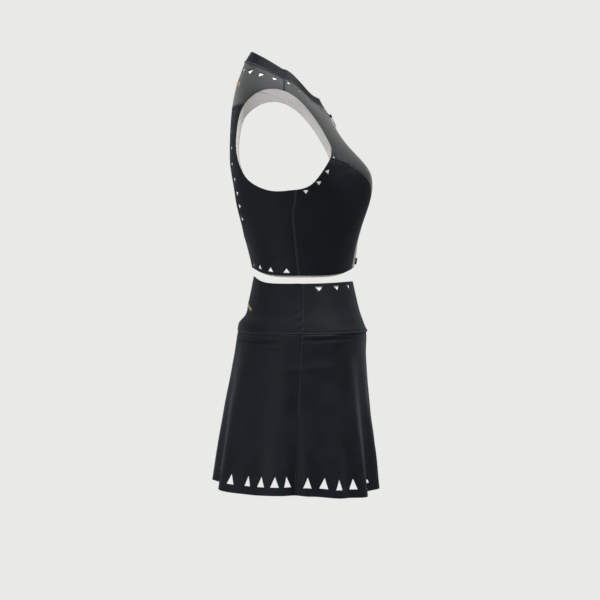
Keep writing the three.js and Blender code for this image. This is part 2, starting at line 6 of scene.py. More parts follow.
import bmesh
import bpy
from mathutils import Matrix, Vector, noise
from mathutils.kdtree import KDTree


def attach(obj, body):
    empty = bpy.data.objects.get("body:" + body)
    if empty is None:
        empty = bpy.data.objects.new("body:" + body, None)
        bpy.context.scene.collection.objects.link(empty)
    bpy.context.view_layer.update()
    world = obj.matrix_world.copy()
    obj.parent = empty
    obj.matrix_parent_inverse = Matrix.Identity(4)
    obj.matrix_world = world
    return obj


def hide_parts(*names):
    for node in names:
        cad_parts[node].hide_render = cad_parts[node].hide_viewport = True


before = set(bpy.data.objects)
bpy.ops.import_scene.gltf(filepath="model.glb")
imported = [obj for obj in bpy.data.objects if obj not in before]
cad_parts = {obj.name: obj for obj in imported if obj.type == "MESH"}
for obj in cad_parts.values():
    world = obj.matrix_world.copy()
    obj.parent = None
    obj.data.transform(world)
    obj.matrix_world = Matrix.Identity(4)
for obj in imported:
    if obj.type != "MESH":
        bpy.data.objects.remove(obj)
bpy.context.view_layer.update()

MM = 0.001
X, Y, Z = Vector((1, 0, 0)), Vector((0, 1, 0)), Vector((0, 0, 1))

# ---------------------------------------------------------------- body shape

ZIP_ARC = {"y": 284, "z": 102, "radius": 380}
ZIP_OPENING = 5.5  # half the gap between the two front edges
CLOTH = 0.8  # thickness of the outer knit

# Each level of the top from hem to neck seam: front z, side x y z, back y z.
TOP_LEVELS = [
    (28, 119, 0, 11, 89, 27),
    (62, 122, 0, 50, 97, 62),
    (98, 129, 1, 90, 108.3, 98),
    (134, 139, 2, 128, 122, 136),
    (170, 148, 3, 166, 126.1, 174),
    (202, 150, 5, 204, 129.7, 212),
    (232, 146, 12, 244, 129, 250),
    (258, 137, 22, 282, 125.5, 288),
    (278, 124, 32, 315, 121, 322),
    (292, 100, 36, 336, 114, 352),
    (306, 68, 35, 350, 101.5, 386),
]
NECK = len(TOP_LEVELS) - 1

# Each level of the skirt from waist to hem: front y z, side x y z, back y z.
SKIRT_LEVELS = [
    (-87, 3, 118, 0, -2, 86, 12),
    (-98, -45, 134, 0, -46, 98, -43),
    (-110, -84, 152, 1, -88, 113, -82),
    (-110, -127, 160, 4, -129, 120, -125),
    (-116, -205, 178, 8, -206, 135, -205),
    (-126, -287, 199, 11, -287, 149, -287),
    (-131, -352, 214, 13, -352, 157, -341),
]
YOKE = 2
HEM = len(SKIRT_LEVELS) - 1

# How far the hem stands out or in at each angle. The skirt's folds run up from here.
HEM_FOLDS = [
    (0, 0), (12, -7), (25, 6), (39, -10), (53, 11), (66, -5), (78, 6), (90, -5), (101, 6),
    (113, -6), (126, 9), (141, -9), (155, 3), (169, -5), (183, 0), (197, 1), (212, -12),
    (227, 9), (243, -5), (256, 6), (264.5, 7), (270, -10), (275, 1), (280, -6), (290, 7),
    (298, -4), (307, 12), (318, -13), (332, 6), (346, -7),
]  # fmt: skip


def mix(a, b, t):
    return a + (b - a) * t


def clamp(t):
    return min(1.0, max(0.0, t))


def smooth(t):
    t = clamp(t)
    return t * t * (3 - 2 * t)


def bell(distance, width):
    return math.exp(-distance * distance / (2 * width * width))


def spline(a, b, c, d, t):
    """The curve between b and c that also heeds the values before and after them."""
    return b + 0.5 * t * (c - a + t * (2 * a - 5 * b + 4 * c - d + t * (3 * (b - c) + d - a)))


def level_at(table, level):
    last = len(table) - 1
    i = min(last - 1, max(0, int(level)))
    rows = [table[min(last, max(0, i + k))] for k in (-1, 0, 1, 2)]
    return [spline(*values, level - i) for values in zip(*rows)]


def fold_at(degrees):
    """The hem's offset at an angle, from the ring of known ones."""
    degrees %= 360
    count = len(HEM_FOLDS)
    after = next((i for i, (angle, _) in enumerate(HEM_FOLDS) if angle > degrees), count)
    ring = [HEM_FOLDS[(after + k) % count] for k in (-2, -1, 0, 1)]
    start, end = ring[1][0], ring[2][0]
    t = ((degrees - start) % 360) / ((end - start) % 360)
    a, b, c, d = (offset for _, offset in ring)
    return spline(a, b, c, d, t)


def section_radius(angle, depth, width):
    """The distance from the middle of a body section to its edge."""
    c, s = abs(math.cos(angle)) / depth, abs(math.sin(angle)) / width
    return (c**2.3 + s**2.3) ** (-1 / 2.3)


def bust(x, z):
    across = bell(abs(x) - 78, 40) * (1 - math.exp(-((x / 35) ** 2)))
    return 38.5 * across * bell(z - 180, 36 if z > 180 else 60)


def crease(y, z, start, end, width, height):
    """A soft ridge or hollow along a line in the side view, fading at both ends."""
    (y0, z0), (y1, z1) = start, end
    length = math.hypot(y1 - y0, z1 - z0)
    along = ((y - y0) * (y1 - y0) + (z - z0) * (z1 - z0)) / length
    aside = ((y - y0) * (z1 - z0) - (z - z0) * (y1 - y0)) / length
    if abs(aside) > 4 * width or not -0.2 * length < along < 1.2 * length:
        return 0.0
    t = along / length
    return height * bell(aside, width) * smooth((t + 0.2) / 0.4) * smooth((1.2 - t) / 0.4)


# Strain lines on the top: from the armhole to the bust, under the bust and at the waist.
TOP_CREASES = [
    ((-52, 186), (-96, 196), 5, -0.9),
    ((-30, 150), (-88, 152), 8, 0.9),
    ((60, 148), (86, 96), 7, -0.8),
    ((84, 150), (96, 84), 6, 0.8),
    ((20, 60), (72, 48), 6, 0.8),
    ((-10, 74), (-66, 60), 6, -0.8),
    ((16, 40), (74, 30), 5, -0.7),
    ((110, 300), (60, 336), 6, 0.9),
]

# Soft folds just below the waistband and across the skirt's front and back.
SKIRT_CREASES = [
    ((112, -93), (50, -97), 2.4, 2.4),
    ((114, -99), (34, -103), 2.4, -2.0),
    ((104, -106), (44, -109), 3.0, 1.3),
    ((-10, -92), (-98, -88), 2.4, 1.8),
    ((-2, -97.5), (-100, -94), 2.6, -1.5),
    ((56, -150), (-52, -141), 4.5, 1.1),
    ((70, -130), (112, -190), 9, -1.6),
    ((-84, -116), (-112, -210), 8, -1.8),
]


def top_point(angle, level):
    front_z, side_x, side_y, side_z, back_y, back_z = level_at(TOP_LEVELS, level)
    front = math.cos(angle) > 0
    zip_y = ZIP_ARC["y"] - math.sqrt(ZIP_ARC["radius"] ** 2 - (front_z - ZIP_ARC["z"]) ** 2)
    depth = side_y - zip_y if front else back_y - side_y
    r = section_radius(angle, depth, side_x)
    x = r * math.sin(angle)
    t = clamp(r * abs(math.cos(angle)) / depth)
    rise = mix(t**4, smooth(t) if front else t, smooth(level / NECK))
    z = mix(side_z, front_z if front else back_z, rise)
    out = bust(x, z) * smooth(2 * t) if front else 0
    return Vector((x, side_y - r * math.cos(angle) - out, z))


def skirt_point(angle, level):
    front_y, front_z, side_x, side_y, side_z, back_y, back_z = level_at(SKIRT_LEVELS, level)
    front = math.cos(angle) > 0
    depth = side_y - front_y if front else back_y - side_y
    r = section_radius(angle, depth, side_x)
    t = clamp(r * abs(math.cos(angle)) / depth)
    z = mix(side_z, front_z if front else back_z, t * t if front else t**6)
    share = clamp((-104 - z) / 246)
    degrees = math.degrees(angle)
    r += fold_at(degrees + 3 * (1 - share)) * share**1.35
    z -= 6 * bell((degrees % 360) - 300, 18) * share + 1.5 * math.sin(5 * angle) * share
    return Vector((r * math.sin(angle), side_y - r * math.cos(angle), z))


def relief(point, creases):
    """How far strain lines and unevenness lift a point of the cloth."""
    side = 1 if point.x > 0 else -1
    shift = 4 if side > 0 else 0
    lift = sum(crease(point.y + shift, point.z - shift, *line) for line in creases)
    uneven = noise.noise(point / 46 + Vector((9, 3, 5))) * 0.8
    return lift * smooth(abs(point.x) / 60) + uneven


def waist_relief(point):
    """The puff in the waistband above its lower seam, and the puckers beside its side seam."""
    back = smooth((point.y - 20) / 70)
    front = smooth((-point.y - 30) / 60)
    puff = 3.4 * back * bell(point.z + 71, 7) - 2.0 * back * bell(point.z + 52, 8)
    bump = 2.2 * front * bell(point.z + 84, 5)
    pucker = 0.7 * bell(point.y - 8, 7) * math.sin(point.z / 2.3 + point.y / 4)
    return puff + bump + pucker


def lifted(surface, angle, level, height, last, extra=None):
    """A point of a surface, moved out along the surface's normal."""
    step = 1e-3
    around = surface(angle + step, level) - surface(angle - step, level)
    along = surface(angle, min(last, level + step)) - surface(angle, max(0, level - step))
    normal = around.cross(along).normalized()
    point = surface(angle, level)
    if normal.x * point.x + normal.y * (point.y - 10) < 0:
        normal.negate()
    return point + normal * (height + (extra(point) if extra else 0))


def top_skin(angle, level, height=0.0):
    return lifted(top_point, angle, level, height, NECK, lambda p: relief(p, TOP_CREASES))


def skirt_skin(angle, level, height=0.0):
    extra = waist_relief if level < YOKE else lambda p: relief(p, SKIRT_CREASES) * smooth((-p.z - 84) / 10)
    return lifted(skirt_point, angle, level, height, HEM, extra)


# ---------------------------------------------------------------- outlines

ARMHOLE = [
    (43, 328), (10, 312), (-20, 278), (-43, 239), (-48, 222), (-42, 201), (-13, 163),
    (24, 154), (60, 155), (94, 174), (112, 210), (115, 250), (105, 297), (77, 323),
]  # fmt: skip
ARMHOLE_TAPE = [
    (43, 350), (-2, 328), (-38, 290), (-61, 247), (-67, 222), (-60, 192), (-24, 147),
    (22, 136), (66, 137), (104, 162), (117.5, 206), (120, 252), (112, 303), (86, 340),
]  # fmt: skip
TEARDROP_HALF = [
    (15, 288), (33, 262), (44, 232), (47, 204), (52, 178), (58, 154), (59, 132), (50, 110), (31, 92),
]  # fmt: skip
SIDE_SEAM = [(4, -60), (7.7, 11), (13.3, 70), (17, 112), (13.3, 165), (31, 310), (31, 400)]
BUST_SEAM = [
    (50, -20), (57, 30), (66, 90), (77, 145), (91.5, 172), (105, 186), (117, 198.5), (131, 207), (175, 222),
]  # fmt: skip
HEM_TAPE_TOP = [(-140, 46), (-75, 44), (-45, 32), (0, 26), (45, 32), (75, 44), (140, 46)]
NECK_TAPE_BOTTOM = [(-140, 286), (-50, 286), (-10, 312), (35, 333), (75, 345), (160, 362)]
YOKE_SEAM_Z = 303


def ring_through(points, steps):
    """A closed smooth line through points, with so many steps between each two."""
    count = len(points)
    line = []
    for i in range(count):
        around = [points[(i + k) % count] for k in (-1, 0, 1, 2)]
        for step in range(steps):
            line.append(tuple(spline(*values, step / steps) for values in zip(*around)))
    return line + [line[0]]


def line_through(points, steps):
    """An open smooth line through points."""
    last = len(points) - 1
    line = []
    for i in range(last):
        around = [points[min(last, max(0, i + k))] for k in (-1, 0, 1, 2)]
        line += [tuple(spline(*v, step / steps) for v in zip(*around)) for step in range(steps)]
    return line + [points[-1]]


def grown(points, distance):
    """Points moved away from their middle."""
    middle = Vector((sum(p[0] for p in points), sum(p[1] for p in points))) / len(points)
    out = []
    for p in points:
        away = Vector(p) - middle
        out.append(tuple(middle + away * (1 + distance / away.length)))
    return out


def inside(p, outline):
    """Whether a point lies in a closed outline."""
    odd = False
    for (a, b), (c, d) in zip(outline, outline[1:]):
        if (b > p[1]) != (d > p[1]) and p[0] < a + (p[1] - b) * (c - a) / (d - b):
            odd = not odd
    return odd


def value_on(line, at, axis):
    """The other coordinate of a line where one coordinate has a value."""
    for p, q in zip(line, line[1:]):
        if min(p[axis], q[axis]) <= at <= max(p[axis], q[axis]):
            t = (at - p[axis]) / (q[axis] - p[axis])
            return mix(p[1 - axis], q[1 - axis], t)
    ends = sorted((line[0], line[-1]), key=lambda p: abs(p[axis] - at))
    return ends[0][1 - axis]


armhole = ring_through(ARMHOLE, 5)
armhole_tape = ring_through(ARMHOLE_TAPE, 4)
TEARDROP = [(0, 297), *TEARDROP_HALF, (0, 84), *[(-x, z) for x, z in reversed(TEARDROP_HALF)]]
teardrop = ring_through(TEARDROP, 5)
teardrop_tape = ring_through(grown(TEARDROP, 19), 4)
side_seam = line_through(SIDE_SEAM, 6)
bust_seam = line_through(BUST_SEAM, 6)

# ---------------------------------------------------------------- cloth tools


def side_view(points):
    return [Vector((0, y, z)) for y, z in points]


def front_view(points, side=1):
    return [Vector((side * x, 0, z)) for x, z in points]


def cloth_sheet(place, columns, rows, size):
    """A flat sheet in a bmesh, laid on the body by a function of its two shares."""
    bm = bmesh.new()
    bmesh.ops.create_grid(bm, x_segments=columns, y_segments=rows, size=0.5)
    layer = bm.loops.layers.uv.new("cloth")
    for face in bm.faces:
        for loop in face.loops:
            loop[layer].uv = ((loop.vert.co.x + 0.5) * size[0], (loop.vert.co.y + 0.5) * size[1])
    for v in bm.verts:
        v.co = place(v.co.x + 0.5, v.co.y + 0.5)
    return bm


def cut_along(bm, line, direction, where=None):
    """Cuts the cloth along a line, seen along a direction."""
    low = [min(p[k] for p in line) - 8 for k in range(3)]
    high = [max(p[k] for p in line) + 8 for k in range(3)]
    axes = [k for k in range(3) if abs(direction[k]) < 0.5]
    zone = []
    for f in bm.faces:
        c = f.calc_center_median()
        if all(low[k] < c[k] < high[k] for k in axes) and (where is None or where(c)):
            zone.append(f)
    for a, b in zip(line, line[1:]):
        along = b - a
        length = along.length
        along.normalize()
        normal = along.cross(direction).normalized()
        chosen = []
        for f in zone:
            if f.is_valid:
                c = f.calc_center_median() - a
                if abs(c.dot(normal)) < 5 and -3 < c.dot(along) < length + 3:
                    chosen.append(f)
        zone = list(dict.fromkeys([*zone, *bisect(bm, chosen, a, normal)]))


def bisect(bm, faces, point, normal):
    """Cuts some faces by a plane, and gives all the faces that result."""
    edges = dict.fromkeys(e for f in faces for e in f.edges)
    verts = dict.fromkeys(v for f in faces for v in f.verts)
    geometry = [*faces, *edges, *verts]
    done = bmesh.ops.bisect_plane(bm, geom=geometry, dist=1e-4, plane_co=point, plane_no=normal)
    return [g for g in done["geom"] if isinstance(g, bmesh.types.BMFace)]


def drop(bm, test):
    """Removes the faces whose middle passes a test."""
    gone = [f for f in bm.faces if test(f.calc_center_median())]
    bmesh.ops.delete(bm, geom=gone, context="FACES")


def punch(bm, tree, faces, point, base, tip, width, height):
    """Cuts one triangle: its base is at point, along base, and its tip points along tip."""
    normal = base.cross(tip).normalized()
    corners = [point - base * width / 2, point + base * width / 2, point + tip * height]
    middle = point + tip * height / 2
    zone = [faces[i] for _, i, _ in tree.find_range(middle, max(width, height) * 0.75 + 5)]
    zone = [f for f in zone if f.is_valid and f.normal.dot(normal) ** 2 > 0.2]
    planes = []
    for a, b in zip(corners, corners[1:] + corners[:1]):
        across = (b - a).cross(normal).normalized()
        if across.dot(middle - a) < 0:
            across.negate()
        planes.append((a, across))
        zone = bisect(bm, [f for f in dict.fromkeys(zone) if f.is_valid], a, across)
    hole = [f for f in zone if all((f.calc_center_median() - a).dot(n) > 0 for a, n in planes)]
    bmesh.ops.delete(bm, geom=hole, context="FACES")


def punch_row(bm, row, width, height):
    """Cuts a row of triangles, each given as a point, a base direction and a tip direction."""
    bm.normal_update()
    faces = list(bm.faces)
    tree = KDTree(len(faces))
    for i, f in enumerate(faces):
        tree.insert(f.calc_center_median(), i)
    tree.balance()
    for point, base, tip in row:
        punch(bm, tree, faces, point, base.normalized(), tip.normalized(), width, height)


def spaced_row(path, pitch, start):
    """Evenly spaced places along a path, each with the path's direction."""
    row = []
    travelled, wanted = 0.0, start
    for a, b in zip(path, path[1:]):
        length = (b - a).length
        while wanted <= travelled + length:
            row.append((a + (b - a) * ((wanted - travelled) / length), (b - a).normalized()))
            wanted += pitch
        travelled += length
    return row


collection = bpy.context.scene.collection


def to_object(bm, name, smooth_faces=True):
    """A finished object from a bmesh in millimetres."""
    bmesh.ops.transform(bm, matrix=Matrix.Scale(MM, 4), verts=bm.verts)
    for f in bm.faces:
        f.smooth = smooth_faces
    mesh = bpy.data.meshes.new(name)
    bm.to_mesh(mesh)
    bm.free()
    piece = bpy.data.objects.new(name, mesh)
    collection.objects.link(piece)
    return piece


def thicken(piece, thickness, offset=-1.0):
    modifier = piece.modifiers.new("thickness", "SOLIDIFY")
    modifier.thickness = thickness * MM
    modifier.offset = offset
    modifier.use_even_offset = False
    return piece


def finish_piece(piece, body, material, nodes=()):
    piece.data.materials.append(material)
    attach(piece, body)
    if nodes:
        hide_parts(*nodes)
    return piece


def keep_region(bm, wanted, layer):
    """A copy of a bmesh with only the faces that carry a label."""
    part = bm.copy()
    marks = part.faces.layers.int[layer]
    bmesh.ops.delete(part, geom=[f for f in part.faces if f[marks] != wanted], context="FACES")
    return part


def chains(edges):
    """Edges joined end to end into lists of vertices."""
    links = {}
    for e in edges:
        a, b = e.verts
        links.setdefault(a, []).append(b)
        links.setdefault(b, []).append(a)
    left = dict.fromkeys(sorted(links, key=lambda v: (len(links[v]) != 1, v.index)))
    found = []
    while left:
        v = next(iter(left))
        chain = [v]
        del left[v]
        while True:
            after = next((w for w in links[chain[-1]] if w in left), None)
            if after is None:
                break
            chain.append(after)
            del left[after]
        if len(chain) > 3:
            found.append(chain)
    return found


def even_path(points, normals, step):
    """A path and its normals, smoothed and resampled at an even step."""
    lengths = [0.0]
    for a, b in zip(points, points[1:]):
        lengths.append(lengths[-1] + (b - a).length)
    count = max(2, int(lengths[-1] / step))
    out = []
    i = 0
    for k in range(count + 1):
        at = lengths[-1] * k / count
        while i < len(lengths) - 2 and lengths[i + 1] < at:
            i += 1
        t = (at - lengths[i]) / max(1e-9, lengths[i + 1] - lengths[i])
        out.append((points[i].lerp(points[i + 1], t), normals[i].lerp(normals[i + 1], t).normalized()))
    return out


def ribbon(name, path, width, lift, thickness):
    """A narrow band of stitching that follows a path over the cloth."""
    count = len(path) - 1
    bm = bmesh.new()
    bmesh.ops.create_grid(bm, x_segments=count, y_segments=2, size=0.5)
    layer = bm.loops.layers.uv.new("cloth")
    total = sum((b[0] - a[0]).length for a, b in zip(path, path[1:]))
    for face in bm.faces:
        for loop in face.loops:
            loop[layer].uv = ((loop.vert.co.x + 0.5) * total, (loop.vert.co.y + 0.5) * width)
    for v in bm.verts:
        i = round((v.co.x + 0.5) * count)
        point, normal = path[i]
        along = path[min(count, i + 1)][0] - path[max(0, i - 1)][0]
        across = along.cross(normal).normalized()
        v.co = point + across * (v.co.y * width) + normal * lift
    bmesh.ops.recalc_face_normals(bm, faces=bm.faces)
    middle = list(bm.faces)[count // 2]
    if middle.normal.dot(path[count // 2][1]) < 0:
        bmesh.ops.reverse_faces(bm, faces=bm.faces)
    return thicken(to_object(bm, name), thickness, 0)


# ---------------------------------------------------------------- materials


def new_group(name, inputs, outputs):
    group = bpy.data.node_groups.new(name, "ShaderNodeTree")
    for label, kind, default in inputs:
        socket = group.interface.new_socket(label, in_out="INPUT", socket_type=kind)
        socket.default_value = default
    for label, kind in outputs:
        group.interface.new_socket(label, in_out="OUTPUT", socket_type=kind)
    return group, group.nodes.new("NodeGroupInput"), group.nodes.new("NodeGroupOutput")


def node(tree, kind, inputs=None, **settings):
    made = tree.nodes.new("ShaderNode" + kind)
    for key, value in settings.items():
        setattr(made, key, value)
    for key, value in (inputs or {}).items():
        if isinstance(value, bpy.types.NodeSocket):
            tree.links.new(value, made.inputs[key])
        else:
            made.inputs[key].default_value = value
    return made


def math_node(tree, operation, a, b=0.0):
    return node(tree, "Math", {0: a, 1: b}, operation=operation).outputs[0]


def ramp(tree, value, low, high, start=0.0, end=1.0):
    """A value stretched from one range to another and clamped."""
    inputs = {"Value": value, "From Min": low, "From Max": high, "To Min": start, "To Max": end}
    return node(tree, "MapRange", inputs).outputs["Result"]


def build_knit_group():
    """Fine warp-knit ribs, in cloth millimetres: a height for bump and a mask for colour."""
    inputs = [("Rib Pitch", "NodeSocketFloat", 0.9), ("Row Pitch", "NodeSocketFloat", 0.7)]
    outputs = [("Height", "NodeSocketFloat"), ("Mask", "NodeSocketFloat")]
    group, start, end = new_group("knit ribs", inputs, outputs)
    uv = node(group, "UVMap", uv_map="cloth").outputs[0]
    parts = node(group, "SeparateXYZ", {0: uv})
    across = math_node(group, "DIVIDE", parts.outputs[0], start.outputs["Rib Pitch"])
    up = math_node(group, "DIVIDE", parts.outputs[1], start.outputs["Row Pitch"])
    wave = math_node(group, "SINE", math_node(group, "MULTIPLY", across, math.pi))
    rib = math_node(group, "ABSOLUTE", wave)
    zigzag = math_node(group, "PINGPONG", across, 0.5)
    loop = math_node(group, "ADD", up, zigzag)
    row = math_node(group, "ABSOLUTE", math_node(group, "SINE", math_node(group, "MULTIPLY", loop, math.pi)))
    soft_rib = math_node(group, "POWER", rib, 0.6)
    soft_row = math_node(group, "POWER", row, 0.5)
    height = math_node(group, "MULTIPLY", soft_rib, soft_row)
    group.links.new(height, end.inputs["Height"])
    group.links.new(ramp(group, height, 0.1, 0.9), end.inputs["Mask"])
    return group


def build_wear_group():
    """Cloudy colour over a few centimetres and lint specks, both as masks."""
    inputs = [("Cloud Scale", "NodeSocketFloat", 24.0), ("Lint Scale", "NodeSocketFloat", 420.0)]
    outputs = [("Cloud", "NodeSocketFloat"), ("Lint", "NodeSocketFloat")]
    group, start, end = new_group("handling wear", inputs, outputs)
    place = node(group, "TexCoord").outputs["Object"]
    cloud = node(group, "TexNoise", {"Vector": place, "Scale": start.outputs["Cloud Scale"], "Detail": 4.0})
    lint = node(group, "TexNoise", {"Vector": place, "Scale": start.outputs["Lint Scale"], "Detail": 2.0})
    group.links.new(ramp(group, cloud.outputs[0], 0.35, 0.65), end.inputs["Cloud"])
    group.links.new(ramp(group, lint.outputs[0], 0.7, 0.8), end.inputs["Lint"])
    return group


def build_stitch_group():
    """Rows of thread zigzags along a seam, in cloth millimetres."""
    inputs = [("Stitch Length", "NodeSocketFloat", 3.0), ("Band Width", "NodeSocketFloat", 5.0)]
    outputs = [("Height", "NodeSocketFloat"), ("Thread", "NodeSocketFloat")]
    group, start, end = new_group("seam stitches", inputs, outputs)
    uv = node(group, "UVMap", uv_map="cloth").outputs[0]
    parts = node(group, "SeparateXYZ", {0: uv})
    along = math_node(group, "DIVIDE", parts.outputs[0], start.outputs["Stitch Length"])
    across = math_node(group, "DIVIDE", parts.outputs[1], start.outputs["Band Width"])
    sway = math_node(group, "PINGPONG", along, 0.5)
    path = math_node(group, "ADD", math_node(group, "MULTIPLY", sway, 1.2), 0.2)
    near = math_node(group, "SUBTRACT", across, path)
    zigzag = ramp(group, math_node(group, "ABSOLUTE", near), 0.12, 0.02)
    edge = math_node(group, "ABSOLUTE", math_node(group, "SUBTRACT", across, 0.5))
    rows = ramp(group, math_node(group, "ABSOLUTE", math_node(group, "SUBTRACT", edge, 0.36)), 0.1, 0.03)
    dashes = ramp(group, math_node(group, "PINGPONG", along, 0.5), 0.04, 0.12)
    straight = math_node(group, "MULTIPLY", rows, dashes)
    thread = math_node(group, "MAXIMUM", zigzag, straight)
    group.links.new(thread, end.inputs["Height"])
    group.links.new(thread, end.inputs["Thread"])
    return group


KNIT_RIBS = build_knit_group()
HANDLING_WEAR = build_wear_group()
SEAM_STITCHES = build_stitch_group()


def group_node(tree, group, **values):
    made = tree.nodes.new("ShaderNodeGroup")
    made.node_tree = group
    for key, value in values.items():
        made.inputs[key.replace("_", " ").title()].default_value = value
    return made


def new_material(name, **settings):
    material = bpy.data.materials.new(name)
    material.use_nodes = True
    shader = material.node_tree.nodes["Principled BSDF"]
    for key, value in settings.items():
        shader.inputs[key.replace("_", " ").title().replace("Ior", "IOR")].default_value = value
    return material, material.node_tree, shader


def blend_colours(tree, factor, a, b):
    inputs = {"Factor": factor, "A": (*a, 1), "B": (*b, 1)}
    mixer = tree.nodes.new("ShaderNodeMix")
    mixer.data_type = "RGBA"
    tree.links.new(factor, mixer.inputs["Factor"])
    mixer.inputs[6].default_value = inputs["A"]
    mixer.inputs[7].default_value = inputs["B"]
    return mixer.outputs[2]


def cloth_material(name, dark, light, rough=(0.5, 0.66), bump=0.25, rib=0.9, row=0.7, **settings):
    """A knitted cloth: two shades, uneven gloss, ribs and lint."""
    material, tree, shader = new_material(name, **settings)
    ribs = group_node(tree, KNIT_RIBS, rib_pitch=rib, row_pitch=row)
    wear = group_node(tree, HANDLING_WEAR)
    shade = math_node(tree, "MULTIPLY", ribs.outputs["Mask"], 0.55)
    shade = math_node(tree, "ADD", shade, math_node(tree, "MULTIPLY", wear.outputs["Cloud"], 0.35))
    shade = math_node(tree, "ADD", shade, math_node(tree, "MULTIPLY", wear.outputs["Lint"], 0.5))
    tree.links.new(blend_colours(tree, shade, dark, light), shader.inputs["Base Color"])
    gloss = ramp(tree, wear.outputs["Cloud"], 0.0, 1.0, rough[0], rough[1])
    tree.links.new(gloss, shader.inputs["Roughness"])
    inputs = {"Height": ribs.outputs["Height"], "Strength": bump, "Distance": 0.0002}
    tree.links.new(node(tree, "Bump", inputs).outputs[0], shader.inputs["Normal"])
    return material


black_knit = cloth_material(
    "black knit", (0.0025, 0.0036, 0.0055), (0.0075, 0.0098, 0.0135), sheen_weight=0.09,
    sheen_roughness=0.3, sheen_tint=(0.55, 0.63, 0.74, 1), specular_ior_level=0.1,
)  # fmt: skip
# A lighter, sheenier copy of the black knit for the centre front panels and back yoke: its paler colour and
# stronger sheen are painted light, for the light that falls on the upper front and yoke.
painted_light_knit = cloth_material(
    "black knit with painted light", (0.005, 0.006, 0.007), (0.014, 0.0155, 0.017), sheen_weight=0.42,
    sheen_roughness=0.42, sheen_tint=(0.75, 0.75, 0.75, 1), specular_ior_level=0.15,
)  # fmt: skip
lining_mesh = cloth_material(
    "pale lining mesh", (0.60, 0.58, 0.56), (0.80, 0.78, 0.76), (0.75, 0.9), 0.4, 1.6, 1.6, sheen_weight=0.2,
)  # fmt: skip
bonded_tape = cloth_material(
    "bonded tape", (0.88, 0.875, 0.865), (0.95, 0.945, 0.935), (0.6, 0.8), 0.2, 0.6, 0.6, sheen_weight=0.1,
)  # fmt: skip
elastic_web = cloth_material(
    "elastic webbing", (0.006, 0.007, 0.008), (0.02, 0.021, 0.023), (0.6, 0.8), 0.6, 1.6, 2.4,
    specular_ior_level=0.2,
)  # fmt: skip
shorts_knit = cloth_material(
    "compression knit", (0.004, 0.005, 0.006), (0.011, 0.013, 0.015), (0.45, 0.6), 0.3, 0.7, 0.6,
    sheen_weight=0.06, specular_ior_level=0.2,
)  # fmt: skip
pad_tricot = cloth_material(
    "brushed tricot", (0.50, 0.46, 0.42), (0.68, 0.64, 0.60), (0.8, 0.95), 0.35, 0.8, 0.8, sheen_weight=0.4,
)  # fmt: skip
zip_weave = cloth_material(
    "zip tape weave", (0.007, 0.008, 0.009), (0.022, 0.024, 0.027), (0.6, 0.78), 0.5, 0.8, 1.1,
)  # fmt: skip


def build_thread_material(name, cloth, thread, sheen):
    """Rows of stitching on a flat seam."""
    material, tree, shader = new_material(name, sheen_weight=sheen, specular_ior_level=0.12)
    stitches = group_node(tree, SEAM_STITCHES)
    wear = group_node(tree, HANDLING_WEAR)
    colour = blend_colours(tree, stitches.outputs["Thread"], cloth, thread)
    tree.links.new(colour, shader.inputs["Base Color"])
    tree.links.new(ramp(tree, wear.outputs["Cloud"], 0, 1, 0.45, 0.6), shader.inputs["Roughness"])
    inputs = {"Height": stitches.outputs["Height"], "Strength": 0.8, "Distance": 0.0004}
    tree.links.new(node(tree, "Bump", inputs).outputs[0], shader.inputs["Normal"])
    return material


def build_metal_material(name, base, worn, metallic, rough):
    """Lacquered or foil metal with brushed grain and rubbed spots."""
    material, tree, shader = new_material(name, metallic=metallic)
    place = node(tree, "TexCoord").outputs["Object"]
    stretched = node(tree, "Mapping", {"Vector": place, "Scale": (600, 2400, 600)}).outputs[0]
    grain = node(tree, "TexNoise", {"Vector": stretched, "Scale": 1.0, "Detail": 3.0}).outputs[0]
    wear = group_node(tree, HANDLING_WEAR, cloud_scale=160.0)
    tree.links.new(blend_colours(tree, wear.outputs["Cloud"], base, worn), shader.inputs["Base Color"])
    tree.links.new(ramp(tree, grain, 0.3, 0.7, *rough), shader.inputs["Roughness"])
    inputs = {"Height": grain, "Strength": 0.25, "Distance": 0.00005}
    tree.links.new(node(tree, "Bump", inputs).outputs[0], shader.inputs["Normal"])
    return material


seam_thread = build_thread_material("seam thread", (0.006, 0.0075, 0.01), (0.022, 0.026, 0.032), 0.1)
tonal_thread = build_thread_material("tonal thread", (0.0025, 0.0035, 0.0055), (0.009, 0.011, 0.014), 0.05)
black_lacquer = build_metal_material(
    "black lacquer", (0.012, 0.013, 0.015), (0.05, 0.052, 0.056), 0.6, (0.22, 0.4),
)  # fmt: skip
warm_foil = build_metal_material("warm foil", (0.62, 0.36, 0.20), (0.80, 0.53, 0.34), 0.85, (0.25, 0.5))
coil_plastic = build_metal_material(
    "coil plastic", (0.010, 0.011, 0.012), (0.035, 0.037, 0.04), 0.0, (0.3, 0.5),
)  # fmt: skip
silicone = build_metal_material("silicone", (0.02, 0.021, 0.023), (0.05, 0.052, 0.055), 0.0, (0.3, 0.45))

# ---------------------------------------------------------------- crop top

TOP_COLUMNS, TOP_ROWS = 212, 74
TOP_SIZE = (860, 300)


def top_sheet(height, opening, columns=TOP_COLUMNS, rows=TOP_ROWS):
    def place(u, w):
        level = w * NECK
        front_z, _, side_y, *_ = level_at(TOP_LEVELS, level)
        depth = side_y + math.sqrt(ZIP_ARC["radius"] ** 2 - (front_z - ZIP_ARC["z"]) ** 2) - ZIP_ARC["y"]
        start = math.asin(opening / depth)
        return top_skin(mix(start, 2 * math.pi - start, u), level, height)

    return cloth_sheet(place, columns, rows, TOP_SIZE)


def cut_openings(bm):
    """Cuts the armholes and the teardrop, and takes the waste away."""
    cut_along(bm, side_view(armhole), X)
    drop(bm, lambda c: inside((c.y, c.z), armhole))
    cut_along(bm, front_view(teardrop), Y, lambda c: c.y > 40)
    drop(bm, lambda c: c.y > 40 and inside((c.x, c.z), teardrop))


